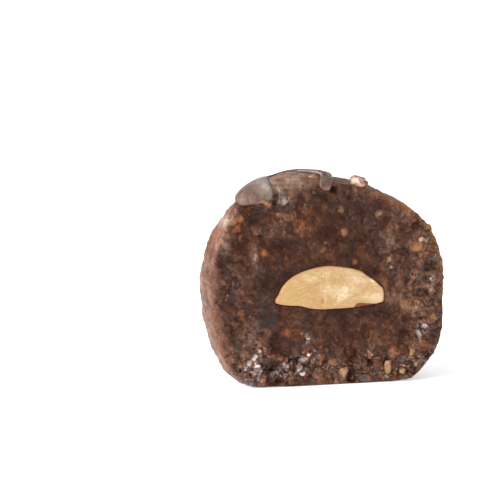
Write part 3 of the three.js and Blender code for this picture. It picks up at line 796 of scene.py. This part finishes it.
def strand_arrays(strand, first_number, crossed):
    """A strand's tube, laid over the skin, over the edge of the cut and over the strands that it crosses: its
    points, its faces with the points numbered from the first number on, and its route with its height.
    """
    full_width, full_height, cut_width, cut_height, over = strand
    rough, length = catmull_rom(on_skin(np.array(over, float)), len(over) * 4)
    count = int(length / STRAND_STEP)
    line, length = catmull_rom(on_skin(rough - BALL_MIDDLE), count)
    outward = unit(line - BALL_MIDDLE)
    tangent = unit(np.gradient(line, axis=0))
    sideways = unit(np.cross(outward, tangent))
    along = np.linspace(0, length, count)
    own_places = np.stack([along, np.full(count, PATTERN_GAP * len(crossed)), np.zeros(count)], 1)

    share = smoothstep(line[:, 1], *CUT_ZONE)
    half_width = (cut_width + (full_width - cut_width) * share) / 2
    to_end = np.minimum(along, length - along) / half_width
    ending = (1 - (1 - np.clip(to_end, 0.001, 1)) ** END_EXPONENT) ** (1 / END_EXPONENT)
    half_width *= (1 + grained(own_places, STRAND_WIDTHS)) * ending
    height = cut_height + (full_height - cut_height) * share
    height *= 1 + grained(own_places, STRAND_HEIGHTS)
    height *= 1 - SMEARED * smoothstep(-line[:, 1], *SMEAR_ZONE)
    height *= 0.35 + 0.65 * ending
    line = line + sideways * grained(own_places, STRAND_SWAY)[:, None]

    bridge = np.zeros(count)
    for other, other_height in crossed:
        gaps = np.linalg.norm(line[:, None] - other[None], axis=2)
        rise = BRIDGE_RISE * other_height[gaps.argmin(1)] * bell(gaps.min(1), 0, BRIDGE_REACH)
        bridge = np.maximum(bridge, rise)

    points = []
    for turn in np.linspace(0, math.tau, STRAND_SIDES, endpoint=False):
        place = line + sideways * (half_width * math.cos(turn))[:, None] - BALL_MIDDLE
        base, lifting = folded(on_skin(place))
        crown = math.sin(turn)
        full = math.copysign(abs(crown) ** 0.85, crown)
        lift = height * (0.5 - STRAND_SINK + 0.5 * full) + bridge * (0.75 + 0.25 * crown)
        points.append(base + lifting * lift[:, None])
    points = np.stack(points, 1).reshape(-1, 3)
    rings = first_number + np.arange(len(points)).reshape(count, STRAND_SIDES)
    beside = np.roll(rings, -1, 1)
    sides = np.stack([rings[:-1], beside[:-1], beside[1:], rings[1:]], 2).reshape(-1, 4)
    return points, [*sides.tolist(), rings[0, ::-1].tolist(), rings[-1].tolist()], (line, height)


def fused(mesh):
    """One closed skin over all that the mesh holds, a little smoothed."""
    scratch = linked("scratch", mesh)
    remesh = scratch.modifiers.new("fuse", "REMESH")
    remesh.mode = "VOXEL"
    remesh.voxel_size = DRIZZLE_VOXEL * MM
    smooth = scratch.modifiers.new("soften", "SMOOTH")
    smooth.iterations = DRIZZLE_SMOOTHINGS
    smooth.factor = 0.5
    made = bpy.data.meshes.new_from_object(scratch.evaluated_get(bpy.context.evaluated_depsgraph_get()))
    bpy.data.objects.remove(scratch)
    return made


def sliced_at_table(mesh):
    """Takes away all that lies below the table, and closes the cut."""
    work = bmesh.new()
    work.from_mesh(mesh)
    geometry = work.verts[:] + work.edges[:] + work.faces[:]
    at = Vector((0, 0, TABLE_GAP * MM))
    bmesh.ops.bisect_plane(work, geom=geometry, plane_co=at, plane_no=Vector((0, 0, -1)), clear_outer=True)
    bmesh.ops.holes_fill(work, edges=[e for e in work.edges if e.is_boundary])
    bmesh.ops.triangulate(work, faces=[f for f in work.faces if len(f.verts) > 4])
    work.to_mesh(mesh)
    work.free()


def make_drizzle(material):
    points = np.zeros((0, 3))
    faces = []
    routes = []
    for strand in STRANDS:
        own_points, own_faces, route = strand_arrays(strand, len(points), routes)
        points = np.concatenate([points, own_points])
        faces += own_faces
        routes.append(route)
    drizzle = fused(new_mesh("strands", points, faces))
    sliced_at_table(drizzle)
    drizzle.shade_smooth()
    places = np.empty(len(drizzle.vertices) * 3)
    drizzle.vertices.foreach_get("co", places)
    places = places.reshape(-1, 3) / MM - CUT_TO_ROW
    # the painted sheen on the chocolate, and the knife's smears
    for name, marks in (("film", FILM_MARKS), ("worn", WORN_MARKS)):
        write_numbers(drizzle, name, np.clip(marked_in_front(places, marks), 0, 1))
    ride("drizzle", drizzle, material)


# ---- the almond

def make_almond(material):
    grid = disc_grid(ALMOND_STEPS)
    distance, angle, _ = grid
    outline = kernel_outline(angle, 0)
    along = distance * outline
    turn = np.clip((along - (outline - ALMOND_EDGE)) / ALMOND_EDGE, 0, 1)
    x, z = from_kernel(along, angle)
    rounded = ALMOND_EDGE * (1 - np.sqrt(1 - turn**2 * 0.98))
    front = np.stack([x, rounded - ALMOND_FORWARD, z], 1)

    ratio = np.sin(distance * math.pi / 2)
    back_x, back_z = from_kernel(outline * ratio, angle)
    back = np.stack([back_x, kernel_depth(ratio, 0) + ALMOND_EDGE, back_z], 1)
    inner = (distance < 1 - TINY)[:, None]
    points, faces = closed_body(grid, front, grid, np.where(inner, back, front + [0, ALMOND_FORWARD, 0]))
    on_cut = np.arange(len(points)) < len(front)
    relief = grained(points, ALMOND_RELIEF) + 0.02 * lumps(points * [1.6, 1, 0.8], 0.35, 26)
    points[:, 1] -= relief * on_cut * (1 - smoothstep(np.tile(distance, 2), 0.93, 1.0))

    # how wide the brown skin shows along the lower right edge and at the right end, and one spot of it
    to_rim = np.concatenate([outline - along, np.zeros_like(along)])
    right, up = points[:, 0], points[:, 2]
    ragged = 0.12 * lumps(points, 0.7, 27)
    left_on = smoothstep(right, *SKIN_START) * (1.25 - 1.15 * smoothstep(right, *SKIN_THINS))
    low_skin = smoothstep(left_on - to_rim - ragged, 0.0, 0.2) * (up < 11)
    end_skin = (right > 6.0) * (1 - smoothstep(to_rim + ragged, 0.15, 0.35))
    to_spot = np.hypot(right - SPOT_AT[0], (up - SPOT_AT[1]) * 0.7)
    spot = 1 - smoothstep(to_spot + ragged, 0.1, 0.35)
    tints = {name: np.where(on_cut, marked(right, up, marks), 0) for name, marks in ALMOND_MARKS.items()}
    return piece(
        "almond", points, faces, material, "almond",
        rim=np.where(on_cut, 1 - smoothstep(to_rim, 0.0, 0.32), 1.0),
        skin=np.where(on_cut, np.maximum(low_skin, end_skin), 0.8),
        spot=np.where(on_cut, spot, 0),
        **tints,
    )


# ---- crumbs and nut chips

def icosphere(subdivisions):
    work = bmesh.new()
    bmesh.ops.create_icosphere(work, subdivisions=subdivisions, radius=1)
    points = np.array([tuple(v.co) for v in work.verts])
    faces = np.array([[v.index for v in f.verts] for f in work.faces])
    work.free()
    return points, faces


def turned(count, rng):
    """Random turns, as matrices."""
    angles = rng.uniform(0, math.tau, count)
    axes = rng.normal(size=(count, 3))
    return np.array([Matrix.Rotation(angle, 3, Vector(axis)) for angle, axis in zip(angles, axes)])


def many(shapes, middles, ball_faces):
    """Shapes put at their places, as one set of points and triangles."""
    points = (shapes + middles[:, None]).reshape(-1, 3)
    faces = (ball_faces[None] + np.arange(len(middles))[:, None, None] * shapes.shape[1]).reshape(-1, 3)
    points[:, 2] = np.maximum(points[:, 2], 0.0)
    return points, faces


def make_crumbs(points, faces, roughness, cut, material):
    """Crumbs that lie on the torn parts of the cut, clear of the almond, the table and the cut's edge."""
    rng = np.random.default_rng(SEED)
    normals = vertex_normals(points, faces)
    from_middle, kernel_angle = to_kernel(points[:, 0], points[:, 2])
    chance = cut * roughness**3 * (from_middle > kernel_outline(kernel_angle, CRUMB_CLEARANCE))
    chance = chance * (points[:, 1] < CRUMB_DEEPEST) * (points[:, 2] > CRUMB_LOWEST) * (normals[:, 1] < -0.4)
    chosen = rng.choice(len(points), CRUMB_COUNT, replace=False, p=chance / chance.sum())
    sizes = np.clip(rng.lognormal(math.log(CRUMB_SIZE), CRUMB_SIZE_SPREAD, CRUMB_COUNT), *CRUMB_SIZE_RANGE)
    ball, ball_faces = icosphere(2)
    stretch = rng.uniform(0.7, 1.3, (CRUMB_COUNT, 1, 3))
    places = (ball[None] + rng.uniform(0, 50, (CRUMB_COUNT, 1, 3))).reshape(-1, 3)
    uneven = 1 + grained(places, CRUMB_LUMPS).reshape(CRUMB_COUNT, -1, 1)
    shapes = np.einsum("nij,nvj->nvi", turned(CRUMB_COUNT, rng), ball * stretch * uneven)
    shapes *= (sizes / 2)[:, None, None]
    middles = points[chosen] - normals[chosen] * (sizes * CRUMB_SINK)[:, None]
    own_points, own_faces = many(shapes, middles, ball_faces)
    own = np.repeat(rng.uniform(0, 1, CRUMB_COUNT), len(ball))
    none = np.zeros(len(own))
    piece("crumbs", own_points, own_faces, material, "paste",
          cut=none + 1, tone=0.25 + 0.5 * own, warm=part_of(own, 7.7), hollow=none, film=none,
          bit_colour=0.6 * part_of(own, 3.3), bit_shows=0.6 * (part_of(own, 11.9) < 0.06),
          moist=0.1 + 0.4 * part_of(own, 23.1))


def make_nut_chips(material):
    rng = np.random.default_rng(SEED + 1)
    right, forward, up, width, height, own = np.array(CHIPS).T
    middles = np.stack([right, -forward, up], 1)
    half = np.stack([width, np.minimum(width, height), height], 1) / 2
    ball, ball_faces = icosphere(3)
    shapes = np.repeat(ball[None], len(own), 0)
    for _ in range(CHIP_SLICES):
        side = unit(rng.normal(size=(len(own), 1, 3)))
        left_on = rng.uniform(0.55, 0.85, (len(own), 1, 1))
        shapes = shapes - side * np.maximum((shapes * side).sum(2, keepdims=True) - left_on, 0)
    uneven = 1 + 0.06 * lumps((shapes + middles[:, None]).reshape(-1, 3), 0.4).reshape(len(own), -1, 1)
    fuller = 1.15  # makes up for what the slices take
    own_points, own_faces = many(shapes * uneven * fuller * half[:, None], middles, ball_faces)
    to_front = smoothstep(-ball[:, 1] - 0.5 * ball[:, 2], -0.1, 0.35)  # flesh in front, brown skin behind
    piece("nut_chips", own_points, own_faces, material, "nut_chip",
          own=np.repeat(own, len(ball)), flesh=np.tile(to_front, len(own)))


# ---- materials

class Finish:
    """A material and its nodes. Sizes are given in millimetres."""

    def __init__(self, name):
        self.material = bpy.data.materials.new(name)
        self.material.use_nodes = True
        self.tree = self.material.node_tree
        self.surface = self.tree.nodes["Principled BSDF"]
        coordinates = self.tree.nodes.new("ShaderNodeTexCoord")
        scaled = self.add("ShaderNodeVectorMath", {0: coordinates.outputs["Object"]}, operation="SCALE")
        scaled.inputs["Scale"].default_value = 1 / MM
        self.place = scaled.outputs[0]

    def put(self, value, socket):
        """Feeds a socket: with another node's output, with the points' numbers of that name, or a value."""
        if isinstance(value, str):
            value = self.add("ShaderNodeAttribute", {}, attribute_name=value).outputs["Fac"]
        if isinstance(value, bpy.types.NodeSocket):
            self.tree.links.new(value, socket)
        else:
            socket.default_value = value

    def add(self, kind, inputs, **settings):
        """A node of that kind, with its inputs as put takes them."""
        node = self.tree.nodes.new(kind)
        for key, value in settings.items():
            setattr(node, key, value)
        for key, value in inputs.items():
            self.put(value, node.inputs[key])
        return node

    def done(self, **values):
        """Feeds the surface's own sockets, their names written with _ for a space. Gives the material."""
        for key, value in values.items():
            self.put(value, self.surface.inputs[key.replace("_", " ")])
        return self.material

    def noise(self, size, detail, stretch=None):
        place = self.place
        if stretch:
            place = self.add("ShaderNodeMapping", {"Vector": place, "Scale": stretch}).outputs[0]
        inputs = {"Vector": place, "Scale": 1 / size, "Detail": detail, "Roughness": 0.55}
        return self.add("ShaderNodeTexNoise", inputs).outputs[0]

    def math(self, operation, a, b):
        return self.add("ShaderNodeMath", {0: a, 1: b}, operation=operation).outputs[0]

    def span(self, value, low, high, to_low=0.0, to_high=1.0):
        inputs = {"Value": value, "From Min": low, "From Max": high, "To Min": to_low, "To Max": to_high}
        return self.add("ShaderNodeMapRange", inputs).outputs[0]

    def mix(self, share, a, b):
        """Colour b over colour a. The sockets of the node's colours are number 6 and 7."""
        a, b = ((*colour, 1) if isinstance(colour, tuple) else colour for colour in (a, b))
        return self.add("ShaderNodeMix", {0: share, 6: a, 7: b}, data_type="RGBA").outputs[2]

    def ramp(self, value, stops):
        node = self.add("ShaderNodeValToRGB", {0: value})
        elements = node.color_ramp.elements
        while len(elements) < len(stops):
            elements.new(0.5)
        for element, (position, colour) in zip(elements, stops):
            element.position = position
            element.color = (*colour, 1)
        return node.outputs[0]

    def bump(self, height, depth):
        """Fine relief in the shading: height is from 0 to 1, depth says how many millimetres that is."""
        inputs = {"Height": height, "Distance": depth * MM, "Strength": 1.0}
        return self.add("ShaderNodeBump", inputs).outputs[0]


COOL_PASTE = [
    (0.0, (0.014, 0.0045, 0.0025)),
    (0.35, (0.034, 0.0125, 0.007)),
    (0.65, (0.066, 0.0295, 0.0185)),
    (1.0, (0.175, 0.098, 0.068)),
]
RED_PASTE = [
    (0.0, (0.017, 0.0045, 0.002)),
    (0.35, (0.040, 0.0115, 0.005)),
    (0.65, (0.095, 0.030, 0.010)),
    (1.0, (0.25, 0.10, 0.045)),
]
ROLLED_PASTE = [(0.0, (0.036, 0.0125, 0.007)), (0.5, (0.10, 0.0385, 0.0205)), (1.0, (0.205, 0.098, 0.056))]
SMEARED_PASTE = [(0.35, (0.088, 0.037, 0.024)), (0.65, (0.175, 0.089, 0.060))]
# painted shade in gaps, tears, creases and furrows
HOLLOW_COLOUR = (0.018, 0.004, 0.0015)
# painted sheen on the paste
PASTE_FILM = (0.27, 0.19, 0.145)
# the bits' colours; the pale one at 1 is the painted glints' colour, and the painted rim light takes the one
# at 0.55
BIT_COLOURS = [
    (0.0, (0.085, 0.015, 0.007)),
    (0.25, (0.27, 0.08, 0.032)),
    (0.5, (0.29, 0.125, 0.05)),
    (0.75, (0.25, 0.155, 0.070)),
    (1.0, (0.66, 0.55, 0.535)),
]
DRIZZLE_COLOURS = [(0.3, (0.040, 0.018, 0.012)), (0.7, (0.068, 0.032, 0.023))]
# painted sheen on the chocolate
DRIZZLE_FILM = (0.26, 0.215, 0.18)
ALMOND_COLOURS = [(0.3, (0.40, 0.235, 0.085)), (0.5, (0.43, 0.265, 0.11)), (0.7, (0.49, 0.34, 0.175))]
ALMOND_STRETCH = (0.6, 1, 1.4)
CHIP_COLOURS = [
    (0.0, (0.022, 0.028, 0.02)),
    (0.2, (0.18, 0.06, 0.022)),
    (0.45, (0.28, 0.14, 0.06)),
    (0.7, (0.27, 0.19, 0.085)),
    (0.88, (0.27, 0.23, 0.13)),
    (1.0, (0.50, 0.32, 0.25)),
]
CHIP_TOASTED = (0.20, 0.065, 0.02)
CHIP_SKIN = (0.15, 0.045, 0.02)
CHIP_SPECKLE = (0.12, 0.045, 0.02)


def paste_finish():
    finish = Finish("paste")
    speckle = finish.span(finish.noise(0.3, 3), 0.3, 0.7, -0.14, 0.14)
    tone = finish.math("ADD", "tone", speckle)
    inside = finish.mix("warm", finish.ramp(tone, COOL_PASTE), finish.ramp(tone, RED_PASTE))
    grainy = finish.math("ADD", tone, finish.span(finish.noise(0.9, 5), 0.3, 0.7, -0.22, 0.22))
    colour = finish.mix("cut", finish.ramp(grainy, ROLLED_PASTE), inside)
    # bits, painted glints and the painted rim light
    bits = finish.ramp("bit_colour", BIT_COLOURS)
    colour = finish.mix("bit_shows", colour, bits)
    # painted shade in the gaps and furrows
    colour = finish.mix(finish.span("hollow", 0.0, 1.0, 0.0, 0.8), colour, HOLLOW_COLOUR)
    return finish.done(
        # the painted sheen is laid over all
        Base_Color=finish.mix("film", colour, PASTE_FILM),
        Roughness=finish.span(finish.noise(0.8, 3), 0.35, 0.65, 0.45, 0.7),
        Normal=finish.bump(finish.noise(0.2, 3), 0.04),
        IOR=1.45,
        Specular_IOR_Level=0.1,
        Coat_Weight="moist",
        Coat_Roughness=0.1,
        Coat_IOR=1.7,
        Coat_Normal=finish.bump(finish.noise(0.5, 2), 0.09),
        Subsurface_Weight=0.2,
        Subsurface_Radius=(1.0, 0.35, 0.15),
        Subsurface_Scale=0.8 * MM,
    )


def drizzle_finish():
    finish = Finish("drizzle")
    # painted sheen on the chocolate, broken up by noise
    dusty = finish.math("MULTIPLY", "film", finish.span(finish.noise(0.8, 3), 0.3, 0.6, 0.5, 1.0))
    smeared = finish.math("MULTIPLY", "worn", finish.span(finish.noise(0.7, 4), 0.38, 0.56))
    clean = finish.span(finish.noise(1.2, 3), 0.3, 0.7, 0.22, 0.42)
    colour = finish.mix(dusty, finish.ramp(finish.noise(3.0, 3), DRIZZLE_COLOURS), DRIZZLE_FILM)
    return finish.done(
        Base_Color=finish.mix(smeared, colour, finish.ramp(finish.noise(0.5, 3), SMEARED_PASTE)),
        Roughness=finish.math("MAXIMUM", clean, finish.math("MULTIPLY", "worn", 0.6)),
        Normal=finish.bump(finish.noise(0.5, 3), 0.07),
        IOR=1.5,
    )


def almond_finish():
    finish = Finish("almond")
    grain = finish.noise(0.35, 3, ALMOND_STRETCH)
    blush = finish.noise(1.2, 2, (1, 1, 1.3))
    streaks = finish.math("MULTIPLY", "pale", finish.span(grain, 0.3, 0.6, 0.1, 1.0))
    colour = finish.ramp(finish.noise(1.7, 3), ALMOND_COLOURS)
    for share, laid_over in (
        ("yellow", (0.43, 0.27, 0.085)),
        (finish.span(blush, 0.5, 0.6, 0.0, 0.55), (0.46, 0.225, 0.11)),
        (finish.span(grain, 0.42, 0.7, 0.0, 0.5), (0.53, 0.40, 0.22)),
        (streaks, (0.70, 0.585, 0.40)),
        ("pink", (0.62, 0.43, 0.33)),
        (finish.span("rim", 0.2, 1.0, 0.0, 0.7), (0.30, 0.14, 0.045)),
        (finish.span("spot", 0.0, 1.0, 0.0, 0.85), (0.36, 0.15, 0.05)),
        ("skin", (0.17, 0.045, 0.02)),
    ):
        colour = finish.mix(share, colour, laid_over)
    return finish.done(
        Base_Color=colour,
        Roughness=finish.span(grain, 0.3, 0.7, 0.55, 0.7),
        Normal=finish.bump(finish.noise(0.25, 2, ALMOND_STRETCH), 0.03),
        Subsurface_Weight=0.15,
        Subsurface_Radius=(1.0, 0.6, 0.3),
        Subsurface_Scale=0.4 * MM,
        IOR=1.45,
        Specular_IOR_Level=0.3,
    )


def nut_finish():
    finish = Finish("nut_chips")
    speckle = finish.noise(0.35, 3)
    patches = finish.span(finish.noise(1.3, 2), 0.42, 0.58, 0.0, 0.9)
    toasted = finish.math("MULTIPLY", patches, finish.span("own", 0.9, 0.95, 1.0, 0.3))
    flesh = finish.mix(toasted, finish.ramp("own", CHIP_COLOURS), CHIP_TOASTED)
    colour = finish.mix("flesh", CHIP_SKIN, flesh)
    return finish.done(
        Base_Color=finish.mix(finish.span(speckle, 0.5, 0.65, 0.0, 0.7), colour, CHIP_SPECKLE),
        Roughness=finish.span(speckle, 0.3, 0.7, 0.35, 0.6),
        Normal=finish.bump(finish.noise(0.15, 2), 0.03),
        IOR=1.45,
        Coat_Weight=0.3,
        Coat_Roughness=0.2,
    )


# ---- floor, light and camera

CAMERA_AZIMUTH = math.radians(-19)
CAMERA_ELEVATION = math.radians(7)
CAMERA_DISTANCE = 500.0
CAMERA_LENS = 285.5
CAMERA_SENSOR = 36.0
AIM_HEIGHT = 13.2
AIM_RIGHT = -7.28
AIM_UP = 2.63
CLIP_METRES = (0.05, 50)
FLOOR_HALF_METRES = 3.0
FLOOR_COLOURS = [(0.3, (0.92, 0.92, 0.92)), (0.7, (0.95, 0.95, 0.95))]
LIGHT_DISTANCE = 600
# Each soft light's name, the direction in which it stands, the side of its square and its power.
SOFT_LIGHTS = [("window", (-0.94, 0.0, 0.40), 420, 5.4), ("lamp", (-0.8, -0.5, 0.35), 200, 2.0)]


def look(thing, place, aim):
    """Puts a camera or light at a place, in millimetres, turned to what it aims at."""
    thing.location = Vector(place) * MM
    thing.rotation_euler = (Vector(aim) - Vector(place)).to_track_quat("-Z", "Y").to_euler()


def make_camera():
    right = np.array([math.cos(CAMERA_AZIMUTH), math.sin(CAMERA_AZIMUTH), 0])
    back = np.array([
        math.sin(CAMERA_AZIMUTH) * math.cos(CAMERA_ELEVATION),
        -math.cos(CAMERA_AZIMUTH) * math.cos(CAMERA_ELEVATION),
        math.sin(CAMERA_ELEVATION),
    ])
    aim = np.array([0, 0, AIM_HEIGHT]) + right * AIM_RIGHT + np.cross(back, right) * AIM_UP
    data = bpy.data.cameras.new("camera")
    data.lens = CAMERA_LENS
    data.sensor_width = CAMERA_SENSOR
    data.clip_start, data.clip_end = CLIP_METRES
    camera = linked("camera", data)
    look(camera, aim + back * CAMERA_DISTANCE, aim)
    bpy.context.scene.camera = camera


def make_floor():
    finish = Finish("floor")
    half = FLOOR_HALF_METRES
    corners = [(-half, -half, 0), (half, -half, 0), (half, half, 0), (-half, half, 0)]
    mesh = bpy.data.meshes.new("floor")
    mesh.from_pydata(corners, [], [(0, 1, 2, 3)])
    mesh.materials.append(finish.done(
        Base_Color=finish.ramp(finish.noise(60.0, 2), FLOOR_COLOURS),
        Roughness=0.9,
        Emission_Color=(1, 1, 1, 1),
        Emission_Strength=0.4,
    ))
    linked("floor", mesh)


def make_light():
    world = bpy.data.worlds.new("studio")
    world.use_nodes = True
    world.node_tree.nodes["Background"].inputs["Color"].default_value = (1, 1, 1, 1)
    world.node_tree.nodes["Background"].inputs["Strength"].default_value = 0.8
    bpy.context.scene.world = world
    middle = np.array([0, 0, WAIST_HEIGHT])
    for name, towards, side, power in SOFT_LIGHTS:
        data = bpy.data.lights.new(name, "AREA")
        data.size = side * MM
        data.energy = power
        look(linked(name, data), middle + unit(np.array(towards)) * LIGHT_DISTANCE, middle)
    bpy.context.scene.view_settings.view_transform = "Standard"


# ---- the scene

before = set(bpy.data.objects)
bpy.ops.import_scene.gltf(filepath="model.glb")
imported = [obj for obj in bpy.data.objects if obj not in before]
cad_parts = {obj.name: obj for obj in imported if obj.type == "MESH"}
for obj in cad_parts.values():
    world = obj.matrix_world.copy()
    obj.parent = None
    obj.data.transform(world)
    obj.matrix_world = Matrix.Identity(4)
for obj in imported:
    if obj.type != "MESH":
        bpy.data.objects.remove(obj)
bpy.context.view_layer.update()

make_camera()
make_light()
make_floor()

paste_material = paste_finish()
paste_points, paste_faces, paste_numbers, paste_roughness = paste_arrays()
paste = piece("paste", paste_points, paste_faces, paste_material, "paste", **paste_numbers)
make_drizzle(drizzle_finish())
almond = make_almond(almond_finish())
make_crumbs(paste_points, paste_faces, paste_roughness, paste_numbers["cut"], paste_material)
make_nut_chips(nut_finish())
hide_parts("truffle_paste")
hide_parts("almond_kernel")
